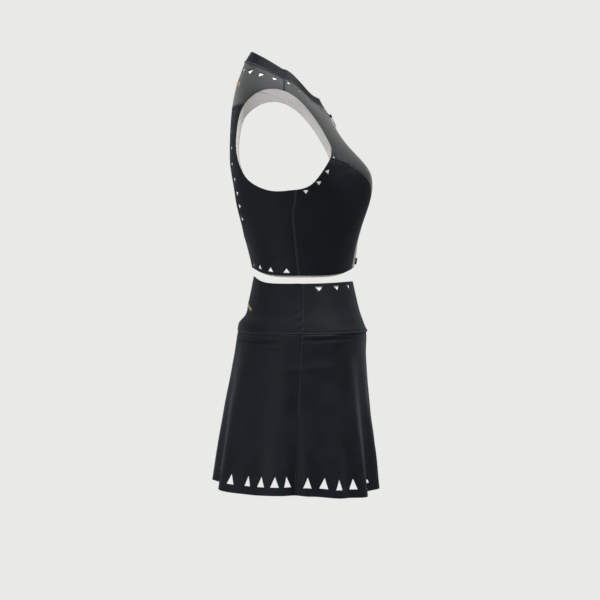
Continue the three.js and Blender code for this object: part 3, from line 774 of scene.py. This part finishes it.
REGIONS = {
    1: "right_side_front",
    2: "left_side_front",
    3: "right_centre_front",
    4: "left_centre_front",
    5: "back_yoke",
    6: "right_back",
    7: "left_back",
}


def top_region(c):
    """Which panel of the top a point belongs to."""
    left = c.x > 0
    if c.y > value_on(side_seam, c.z, 1):
        if c.z > YOKE_SEAM_Z:
            return 5
        return 7 if left else 6
    if c.z < BUST_SEAM[-1][1] and abs(c.x) > value_on(bust_seam, c.z, 1):
        return 2 if left else 1
    return 4 if left else 3


def make_top_panels():
    bm = top_sheet(0.0, ZIP_OPENING)
    cut_openings(bm)
    cut_along(bm, side_view(side_seam), X)
    for side in (1, -1):
        cut_along(bm, front_view(bust_seam, side), Y, lambda c: c.y < 20 and c.x * side > 0)
    yoke_line = [Vector((-130, 0, YOKE_SEAM_Z)), Vector((130, 0, YOKE_SEAM_Z))]
    cut_along(bm, yoke_line, Y, lambda c: c.y > 25)
    back_line = [Vector((0, 0, 0)), Vector((0, 0, 120))]
    cut_along(bm, back_line, Y, lambda c: c.y > 25)

    marks = bm.faces.layers.int.new("panel")
    for f in bm.faces:
        f[marks] = top_region(f.calc_center_median())
    bm.normal_update()
    bm.verts.index_update()

    punch_top_rows(bm)
    bm.normal_update()
    bm.verts.index_update()
    shared = [e for e in bm.edges if len(e.link_faces) == 2]
    seams = [e for e in shared if e.link_faces[0][marks] != e.link_faces[1][marks]]
    by_pair = {}
    for e in seams:
        pair = tuple(sorted(f[marks] for f in e.link_faces))
        by_pair.setdefault(pair, []).append(e)
    paths = []
    for pair in sorted(by_pair):
        for chain in chains(by_pair[pair]):
            path = even_path([v.co.copy() for v in chain], [v.normal.copy() for v in chain], 2.5)
            if len(path) > 6:
                paths.append((pair, path))
    for v in dict.fromkeys(v for e in seams for v in e.verts):
        v.co -= v.normal * 0.5

    for mark, name in REGIONS.items():
        part = keep_region(bm, mark, "panel")
        piece = thicken(to_object(part, name + "_panel"), CLOTH)
        # The centre front panels and back yoke take the copy of the knit with painted light.
        lit_panel = "centre" in name or name == "back_yoke"
        material = painted_light_knit if lit_panel else black_knit
        finish_piece(piece, "top", material, [name])
    bm.free()
    for i, (pair, path) in enumerate(paths):
        at_side = min(pair) < 3 and max(pair) > 5
        seam = ribbon(f"top_seam_{i}_{pair[0]}_{pair[1]}", path, 4.0 if at_side else 3.0, 0.1, 0.3)
        finish_piece(seam, "top", seam_thread if at_side else tonal_thread)


def view_row(bm, places, right):
    """Triangle places given in the side view, set on the cloth: y, z and the tip's direction."""
    pool = [(v.co.copy(), v.normal.copy()) for v in bm.verts if (v.co.x < 0) == right]
    row = []
    for y, z, tip_y, tip_z in places:
        point, normal = min(pool, key=lambda p: (p[0].y - y) ** 2 + (p[0].z - z) ** 2)
        seen = Vector((0, y, z))
        point = Vector((point.x, seen.y, seen.z))
        tip = Vector((0, tip_y, tip_z))
        tip = (tip - normal * tip.dot(normal)).normalized()
        row.append((point, normal.cross(tip), tip))
    return row


def row_round(surface, level, angles, rise, tip_z):
    """Triangle places round a level of a body, at given angles, mirrored to the other side."""
    row = []
    for degrees in [*angles, *[360 - a for a in angles if a % 180]]:
        angle = math.radians(degrees)
        point = surface(angle, level)
        along = (surface(angle + 0.01, level) - surface(angle - 0.01, level)).normalized()
        step = 0.02 if level < 1 else -0.02
        up = (surface(angle, level + step) - point).normalized()
        if up.z * tip_z < 0:
            up.negate()
        tip = (up - along * up.dot(along)).normalized()
        row.append((point + tip * rise, along, tip))
    return row


def below_neck(angle, distance):
    """The point a distance down the cloth from the neck seam."""
    level, left = NECK, distance
    point = top_skin(angle, level)
    while left > 0:
        level -= 0.05
        after = top_skin(angle, level)
        left -= (after - point).length
        point = after
    return point


NECK_ROW_GAP = 13.5  # from the neck seam to the base of the triangles below it
NECK_ROW = (20, 37, 54, 69, 82, 98.5, 115, 133.7, 152, 170.5)
TEARDROP_ROW = (
    (48, 260), (58.5, 231), (61.5, 203), (67, 176.5), (73, 152.6), (73, 130.4), (62.5, 109), (44, 91),
    (17, 76),
)  # fmt: skip
BACK_HEM_ROW = (256.2, 240.7, 225.5, 209, 192.5)
WAIST_ROW = (282.6, 299.5, 319.2, 340, 0)
SKIRT_HEM_ROW = (
    184, 193.5, 203.5, 213.5, 224, 234.3, 245.7, 253.8, 260.8, 267.1, 275.5, 282.6, 290.8, 299.9,
    310, 321, 332, 343, 354,
)  # fmt: skip


def punch_top_rows(bm):
    # Front of each armhole: base beside the edge, tip away from it.
    arm = [(-4.4, 154.6, 0, -1), (-26.2, 169.4, -0.1, -1), (-40.4, 188.4, -0.42, -0.9)]
    for right in (True, False):
        punch_row(bm, view_row(bm, arm, right), 9.5, 7)
        punch_row(bm, view_row(bm, [(-50.8, 211.5, -0.8, -0.6)], right), 6, 6)
    # Below the collar, all the way round.
    row = []
    for degrees in [*NECK_ROW, *[360 - a for a in NECK_ROW]]:
        angle = math.radians(degrees)
        point, after = below_neck(angle, NECK_ROW_GAP), below_neck(angle, NECK_ROW_GAP + 10)
        along = below_neck(angle + 0.02, NECK_ROW_GAP) - below_neck(angle - 0.02, NECK_ROW_GAP)
        tip = after - point
        row.append((point, along, tip - along * (tip.dot(along) / along.length_squared)))
    punch_row(bm, row, 11.5, 10)
    # Round the teardrop, and along the back hem.
    punch_row(bm, teardrop_row(bm), 11.5, 10.5)
    punch_row(bm, row_round(top_skin, 0.0, BACK_HEM_ROW, 5.0, 1), 13, 8)


def teardrop_row(bm):
    pool = [(v.co.copy(), v.normal.copy()) for v in bm.verts if v.co.y > 60]
    edge = [Vector((x, 0, z)) for x, z in teardrop]
    row = []
    for side in (1, -1):
        for x, z in TEARDROP_ROW:
            middle = Vector((side * x, 0, z))
            away = (middle - min(edge, key=lambda p: (p - middle).length)).normalized()
            place = middle - away * 4.5
            at, normal = min(pool, key=lambda p: (p[0].x - place.x) ** 2 + (p[0].z - place.z) ** 2)
            place.y = at.y
            tip = (away - normal * away.dot(normal)).normalized()
            row.append((place, normal.cross(tip), tip))
    return row


INNER_REGIONS = {
    1: ("neck_facing", "facing"),
    2: ("hem_facing", "facing"),
    3: ("right_armhole_facing", "facing"),
    4: ("left_armhole_facing", "facing"),
    5: ("right_keyhole_facing", "facing"),
    6: ("left_keyhole_facing", "facing"),
    7: ("right_front_lining", "lining"),
    8: ("left_front_lining", "lining"),
    9: ("back_lining", "lining"),
}


def inner_region(c):
    left = c.x > 0
    if c.z > value_on(NECK_TAPE_BOTTOM, c.y, 0):
        return 1
    if c.z < value_on(HEM_TAPE_TOP, c.y, 0):
        return 2
    if inside((c.y, c.z), armhole_tape):
        return 4 if left else 3
    if c.y > 40 and inside((c.x, c.z), teardrop_tape):
        return 6 if left else 5
    if c.y > value_on(side_seam, c.z, 1):
        return 9
    return 8 if left else 7


def make_top_inside():
    bm = top_sheet(-1.15, 18.5, 150, 54)
    cut_openings(bm)
    cut_along(bm, side_view(armhole_tape), X)
    cut_along(bm, front_view(teardrop_tape), Y, lambda c: c.y > 40)
    cut_along(bm, side_view(HEM_TAPE_TOP), X)
    cut_along(bm, side_view(NECK_TAPE_BOTTOM), X)
    cut_along(bm, side_view(side_seam), X)
    marks = bm.faces.layers.int.new("panel")
    for f in bm.faces:
        f[marks] = inner_region(f.calc_center_median())
    for mark, (name, slot) in INNER_REGIONS.items():
        part = keep_region(bm, mark, "panel")
        piece = thicken(to_object(part, name + "_cloth"), 0.45)
        finish_piece(piece, "top", bonded_tape if slot == "facing" else lining_mesh, [name])
    bm.free()


def make_collar():
    """The stand collar, whose ends part and turn forwards above the zip."""

    def place(u, w):
        open_angle = math.asin(mix(6, 15, w) / 72)
        angle = open_angle + u * (2 * math.pi - 2 * open_angle)
        base = top_skin(angle, NECK, 0.0)
        back = 0.5 - 0.5 * math.cos(angle)
        lean = mix(8, 11, back) * w
        ripple = 0.5 * math.sin(9 * angle + 1) * w
        base.x -= math.sin(angle) * (lean + ripple)
        base.y += math.cos(angle) * (lean + ripple)
        base.z += mix(15, 17.5, smooth(2 * back)) * w + 0.2
        return base

    bm = cloth_sheet(place, 170, 9, (470, 17.5))
    piece = thicken(to_object(bm, "stand_collar_band"), 1.9)
    softened = piece.modifiers.new("soft edge", "BEVEL")
    softened.width = 0.5 * MM
    softened.segments = 3
    softened.limit_method = "ANGLE"
    softened.angle_limit = math.radians(50)
    finish_piece(piece, "top", black_knit, ["stand_collar"])
    path = []
    for degrees in range(6, 355):
        angle = math.radians(degrees)
        outward = top_skin(angle, NECK - 0.1, 20) - top_skin(angle, NECK - 0.1)
        path.append((top_skin(angle, NECK, 0.5), outward))
    path = even_path([p for p, _ in path], [n.normalized() for _, n in path], 2.5)
    finish_piece(ribbon("collar_seam", path, 3.0, 0.2, 0.3), "top", seam_thread)


def make_bust_pads():
    for side, name in ((-1, "right_bust_pad"), (1, "left_bust_pad")):
        bm = bmesh.new()
        bmesh.ops.create_uvsphere(bm, u_segments=40, v_segments=24, radius=1)
        layer = bm.loops.layers.uv.new("cloth")
        for face in bm.faces:
            for loop in face.loops:
                loop[layer].uv = (loop.vert.co.x * 50, loop.vert.co.y * 46)
        for v in bm.verts:
            a, b, c = v.co
            angle = side * math.radians(43 + 23 * a)
            v.co = top_skin(angle, 4.05 + 1.3 * b, -3.4 - 2.6 * (1 - c) * (0.35 + 0.65 * abs(c)))
        if side < 0:
            bmesh.ops.reverse_faces(bm, faces=bm.faces)
        bmesh.ops.recalc_face_normals(bm, faces=bm.faces)
        piece = to_object(bm, name + "_cup")
        finish_piece(piece, "top", pad_tricot, [name])


# ---------------------------------------------------------------- zip


def zip_point(z, x=0.0, lift=0.0):
    """A point on or off the zip's arc, at a height."""
    angle = math.pi - math.asin((z - ZIP_ARC["z"]) / ZIP_ARC["radius"])
    radius = ZIP_ARC["radius"] + lift
    return Vector((x, ZIP_ARC["y"] + radius * math.cos(angle), ZIP_ARC["z"] + radius * math.sin(angle)))


ZIP_LOW, ZIP_HIGH = 34, 303
TAPE_LIFT = -2.5


def make_zip():
    for side, name in ((-1, "right"), (1, "left")):

        def place(u, w):
            return zip_point(mix(ZIP_LOW - 6, ZIP_HIGH, w), side * mix(0.8, 13.8, u), TAPE_LIFT)

        bm = cloth_sheet(place, 6, 80, (13, 275))
        bmesh.ops.recalc_face_normals(bm, faces=bm.faces)
        if list(bm.faces)[0].normal.y > 0:
            bmesh.ops.reverse_faces(bm, faces=bm.faces)
        tape = thicken(to_object(bm, f"{name}_zip_tape_cloth"), 0.6)
        finish_piece(tape, "top", zip_weave, [f"{name}_zip_tape"])

        coil = bmesh.new()
        z = ZIP_LOW + 16.0
        while z < ZIP_HIGH - 5:
            turn = Matrix.Translation(zip_point(z + 0.35 * side, side * 1.95, TAPE_LIFT + 0.95))
            slope = math.asin((z - ZIP_ARC["z"]) / ZIP_ARC["radius"])
            turn = turn @ Matrix.Rotation(-slope, 4, "X") @ Matrix.Rotation(math.radians(90), 4, "Y")
            bmesh.ops.create_cone(
                coil, cap_ends=True, cap_tris=False, segments=8, radius1=0.52, radius2=0.52, depth=2.5,
                matrix=turn @ Matrix.Scale(1.7, 4, X),
            )  # fmt: skip
            z += 1.45
        for f in coil.faces:
            f.smooth = True
        piece = to_object(coil, f"{name}_zip_coil")
        finish_piece(piece, "top", coil_plastic)

        edge = []
        for step in range(120):
            z = mix(ZIP_LOW - 4, ZIP_HIGH + 2, step / 119)
            point = zip_point(z, side * 8.6, 0.0)
            edge.append((point, (zip_point(z, 0, 10) - zip_point(z)).normalized()))
        path = even_path([p for p, _ in edge], [n for _, n in edge], 2.5)
        finish_piece(ribbon(f"{name}_zip_topstitch", path, 1.6, 0.25, 0.25), "top", seam_thread)

    def guard_point(u, w):
        return zip_point(mix(ZIP_LOW - 5.5, ZIP_HIGH - 2, w), mix(-14, 14, u), -4.3)

    bm = cloth_sheet(guard_point, 8, 60, (28, 273))
    bmesh.ops.recalc_face_normals(bm, faces=bm.faces)
    guard = thicken(to_object(bm, "zip_guard_cloth"), 0.9)
    finish_piece(guard, "top", black_knit, ["zip_guard"])


# ---------------------------------------------------------------- skirt


def skirt_sheet(angles, levels, columns, rows, size, height=0.0):
    def place(u, w):
        angle = math.radians(mix(angles[0], angles[1], u))
        return skirt_skin(angle, mix(levels[0], levels[1], w), height)

    bm = cloth_sheet(place, columns, rows, size)
    bm.normal_update()
    total = 0
    for f in bm.faces:
        middle = f.calc_center_median()
        total += f.normal.dot(Vector((middle.x, middle.y, 0)))
    if total < 0:
        bmesh.ops.reverse_faces(bm, faces=bm.faces)
    return bm


HALVES = {"front": (-90.0, 90.0), "back": (90.0, 270.0)}


def make_waistband():
    for half, angles in HALVES.items():
        bm = skirt_sheet(angles, (0, YOKE), 120, 26, (390, 88))
        if half == "front":
            punch_row(bm, row_round(skirt_skin, 0.0, WAIST_ROW, 5.5, -1), 15, 8.5)
        piece = thicken(to_object(bm, f"{half}_waistband_band"), 1.0)
        finish_piece(piece, "skirt", black_knit, [f"{half}_waistband"])
        inner = skirt_sheet(angles, (0.02, YOKE - 0.02), 90, 16, (380, 86), -1.7)
        piece = thicken(to_object(inner, f"{half}_waist_facing_cloth"), 0.5)
        finish_piece(piece, "skirt", bonded_tape, [f"{half}_waist_facing"])
    ring = skirt_sheet((0.0, 360.0), (0.5, 1.0), 150, 6, (770, 24), -1.15)
    bmesh.ops.remove_doubles(ring, verts=ring.verts, dist=0.01)
    piece = thicken(to_object(ring, "waist_elastic_web"), 0.4)
    finish_piece(piece, "skirt", elastic_web, ["waist_elastic"])


def seam_ribbon(name, points, width, lift=0.2):
    normals = []
    for p in points:
        normals.append(Vector((p.x, p.y, 0)).normalized())
    path = even_path(points, normals, 2.5)
    return finish_piece(ribbon(name, path, width, lift, 0.3), "skirt", tonal_thread)


SKIRT_PANEL_SIZE = (690, 268)


def make_skirt_panels():
    row = row_round(skirt_skin, HEM, SKIRT_HEM_ROW, 14.0, 1)
    for half, angles in HALVES.items():
        bm = skirt_sheet(angles, (YOKE, HEM), 190, 84, SKIRT_PANEL_SIZE)
        mine = [place for place in row if (place[0].y < 13) == (half == "front")]
        punch_row(bm, mine, 15, 18)
        piece = thicken(to_object(bm, f"{half}_skirt_panel_cloth"), CLOTH)
        finish_piece(piece, "skirt", black_knit, [f"{half}_skirt_panel"])
    for side, name in ((-90, "right"), (90, "left")):
        angle = math.radians(side)
        points = [skirt_skin(angle, mix(YOKE + 0.05, HEM - 0.02, k / 60)) for k in range(61)]
        seam_ribbon(f"{name}_skirt_side_seam", points, 2.6)
        points = [skirt_skin(angle, mix(0.03, YOKE - 0.05, k / 30)) for k in range(31)]
        seam_ribbon(f"{name}_waistband_side_seam", points, 4.5)
    ring = [skirt_skin(math.radians(a), YOKE - 0.02) for a in range(-180, 181, 2)]
    seam_ribbon("waistband_lower_seam", ring, 3.4)


# ---------------------------------------------------------------- built-in shorts


GUSSET = [(0, -52), (13, -20), (16, 10), (13, 42), (0, 72), (-13, 42), (-16, 10), (-13, -20)]


def make_shorts():
    solid = bmesh.new()
    rings = [
        (0, -155, 152, 106, 150), (0, -215, 150, 102, 60), (-77, -262, 73, 92, 110), (77, -262, 73, 92, 110),
    ]  # fmt: skip
    for x, z, half_x, half_y, tall in rings:
        place = Matrix.Translation((x, 6 if x == 0 else 10, z)) @ Matrix.Diagonal((half_x, half_y, 1, 1))
        bmesh.ops.create_cone(
            solid, cap_ends=True, segments=64, radius1=1, radius2=1, depth=tall, matrix=place,
        )  # fmt: skip
    source = to_object(solid, "shorts_block")
    remesh = source.modifiers.new("blend", "REMESH")
    remesh.mode = "VOXEL"
    remesh.voxel_size = 5 * MM
    soften = source.modifiers.new("soften", "SMOOTH")
    soften.iterations = 14
    soften.factor = 0.7
    deps = bpy.context.evaluated_depsgraph_get()
    mesh = bpy.data.meshes.new_from_object(source.evaluated_get(deps))
    bpy.data.objects.remove(source)
    whole = bmesh.new()
    whole.from_mesh(mesh)
    bmesh.ops.transform(whole, matrix=Matrix.Scale(1000, 4), verts=whole.verts)
    for z, up in ((-94, 1), (-295, -1)):
        bmesh.ops.bisect_plane(
            whole, geom=[*whole.faces, *whole.edges, *whole.verts],
            plane_co=(0, 0, z), plane_no=(0, 0, up), clear_outer=True,
        )  # fmt: skip
    layer = whole.loops.layers.uv.new("cloth")
    for face in whole.faces:
        for loop in face.loops:
            c = loop.vert.co
            around = math.atan2(c.y - 10, c.x - math.copysign(77, c.x)) * 82
            loop[layer].uv = (around, c.z)
    for v in whole.verts:
        c = v.co
        strain = math.sin(math.hypot(c.x * 0.6, c.z + 236) / 6.0) * bell(math.hypot(c.x, c.z + 236), 34)
        v.co = c + v.normal * (0.9 * strain + 0.8 * noise.noise(c / 40))
    gusset = ring_through(GUSSET, 4)
    cut_along(whole, [Vector((x, y, 0)) for x, y in gusset], Z, lambda c: c.z < -205)
    bmesh.ops.bisect_plane(
        whole, geom=[*whole.faces, *whole.edges, *whole.verts], plane_co=(0, 0, 0), plane_no=(1, 0, 0),
    )  # fmt: skip
    marks = whole.faces.layers.int.new("panel")
    for f in whole.faces:
        c = f.calc_center_median()
        middle = c.z < -205 and inside((c.x, c.y), gusset)
        f[marks] = 3 if middle else (1 if c.x < 0 else 2)
    names = {1: "right_shorts_leg", 2: "left_shorts_leg", 3: "shorts_gusset"}
    for mark, name in names.items():
        part = keep_region(whole, mark, "panel")
        piece = thicken(to_object(part, name + "_cloth"), 1.0)
        finish_piece(piece, "skirt", shorts_knit, [name])
    whole.free()
    for side, name in ((-1, "right"), (1, "left")):

        def place(u, w):
            a = 2 * math.pi * u
            return Vector((side * 77 + 70.3 * math.cos(a), 10 + 89.3 * math.sin(a), mix(-294, -283, w)))

        bm = cloth_sheet(place, 96, 4, (500, 12))
        bmesh.ops.remove_doubles(bm, verts=bm.verts, dist=0.01)
        bmesh.ops.recalc_face_normals(bm, faces=bm.faces)
        piece = thicken(to_object(bm, f"{name}_leg_gripper_tape"), 0.8)
        finish_piece(piece, "skirt", silicone, [f"{name}_leg_gripper"])


# ---------------------------------------------------------------- foil bars


def make_foil_bars():
    def neck_place(u, w):
        a = mix(-1, 1, u)
        return top_skin(math.pi + a * 0.62, 8.95 - 0.3 * a * a + 0.13 * (w - 0.5) * 2, 0.35)

    def waist_place(u, w):
        a = mix(-1, 1, u)
        return skirt_skin(math.pi + a * 0.62, 0.85 + 0.2 * a * a + 0.05 * (w - 0.5) * 2, 0.35)

    bars = (("neck", neck_place, "top", (92, 6)), ("waist", waist_place, "skirt", (116, 5)))
    for name, place, body, size in bars:
        bm = cloth_sheet(place, 48, 4, size)
        bm.normal_update()
        if sum(f.normal.y for f in bm.faces) < 0:
            bmesh.ops.reverse_faces(bm, faces=bm.faces)
        piece = thicken(to_object(bm, f"{name}_foil_bar_film"), 0.2)
        finish_piece(piece, body, warm_foil, [f"{name}_foil_bar"])


ZIP_METAL = (
    "zip_slider", "zip_pull", "zip_retainer_box", "zip_insertion_pin", "right_zip_top_stop",
    "left_zip_top_stop",
)  # fmt: skip


def dress_cad_nodes():
    """Gives the metal pieces that come from the solid model their finish."""
    for name in ZIP_METAL:
        shown = bpy.data.objects[name]
        for socket in shown.material_slots:
            socket.material = black_lacquer


make_top_panels()
make_top_inside()
make_collar()
make_bust_pads()
make_zip()
make_waistband()
make_skirt_panels()
make_shorts()
make_foil_bars()
dress_cad_nodes()

# ---------------------------------------------------------------- studio


def make_studio():
    scene = bpy.context.scene
    camera_data = bpy.data.cameras.new("camera")
    camera_data.sensor_width = 36
    camera_data.lens = 120
    camera = bpy.data.objects.new("camera", camera_data)
    camera.location = (-3.5, 0.00525, -0.02975)
    camera.rotation_euler = (math.radians(90), 0, math.radians(-90))
    collection.objects.link(camera)
    scene.camera = camera

    bm = bmesh.new()
    bmesh.ops.create_circle(bm, cap_ends=True, segments=96, radius=5200)
    bmesh.ops.translate(bm, vec=(0, 0, -900), verts=bm.verts)
    floor = to_object(bm, "floor", False)
    material, tree, shader = new_material("pale floor", roughness=0.9)
    shader.inputs["Base Color"].default_value = (0.80, 0.80, 0.79, 1)
    place = node(tree, "TexCoord").outputs["Object"]
    distance = node(tree, "VectorMath", {0: place}, operation="LENGTH").outputs["Value"]
    tree.links.new(ramp(tree, distance, 1.1, 2.3, 1.0, 0.0), shader.inputs["Alpha"])
    floor.data.materials.append(material)

    world = bpy.data.worlds.new("studio")
    scene.world = world
    world.use_nodes = True
    tree = world.node_tree
    background = tree.nodes["Background"]
    background.inputs["Color"].default_value = (0.82, 0.817, 0.807, 1)
    seen = node(tree, "LightPath").outputs["Is Camera Ray"]
    tree.links.new(ramp(tree, seen, 0.0, 1.0, 0.42, 1.0), background.inputs["Strength"])

    def soft_light(name, place, target, size, power):
        data = bpy.data.lights.new(name, "AREA")
        data.shape = "RECTANGLE"
        data.size, data.size_y = size
        data.energy = power
        lamp = bpy.data.objects.new(name, data)
        lamp.location = place
        lamp.rotation_euler = (Vector(target) - Vector(place)).to_track_quat("-Z", "Y").to_euler()
        collection.objects.link(lamp)

    soft_light("overhead", (-0.3, -0.1, 2.6), (0, 0, 0), (2.4, 2.0), 90)
    soft_light("front top", (-0.2, -1.7, 2.8), (0, 0, 0.3), (1.4, 1.2), 90)
    soft_light("camera side", (-2.8, 3.0, 0.5), (0, 0, -0.1), (1.4, 1.8), 85)
    scene.view_settings.view_transform = "Standard"


make_studio()
